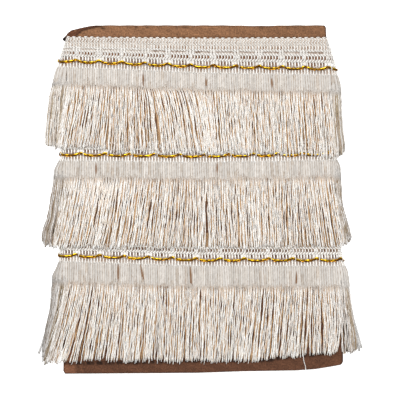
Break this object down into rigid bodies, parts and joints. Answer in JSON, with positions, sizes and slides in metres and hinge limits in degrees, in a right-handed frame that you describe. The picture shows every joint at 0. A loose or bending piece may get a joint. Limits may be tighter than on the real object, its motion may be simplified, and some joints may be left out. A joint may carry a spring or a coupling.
{
  "type": "tassel fringe trim wound on a card",
  "caption": "Pale tassel fringe trim with a crocheted heading and a wavy gold thread, wound in overlapping turns on a flat brown card.",
  "frame": {"origin": "on the surface that the wound card lies on, under the middle of the whole", "axes": "+X to the right across the card's front, +Y up the card towards the last turn's heading, +Z out of its front face"},
  "size_m": [0.3216, 0.349, 0.0156],
  "materials": {
    "card": "brown kraft",
    "heading_yarn": "matt crocheted yarn",
    "gold_thread": "twisted metallic thread",
    "fringe_yarn": "soft two-ply yarn"
  },
  "bodies": {
    "root": {"card": "card", "heading": "heading_yarn", "gold_thread": "gold_thread", "fringe": "fringe_yarn"}
  },
  "joints": []
}
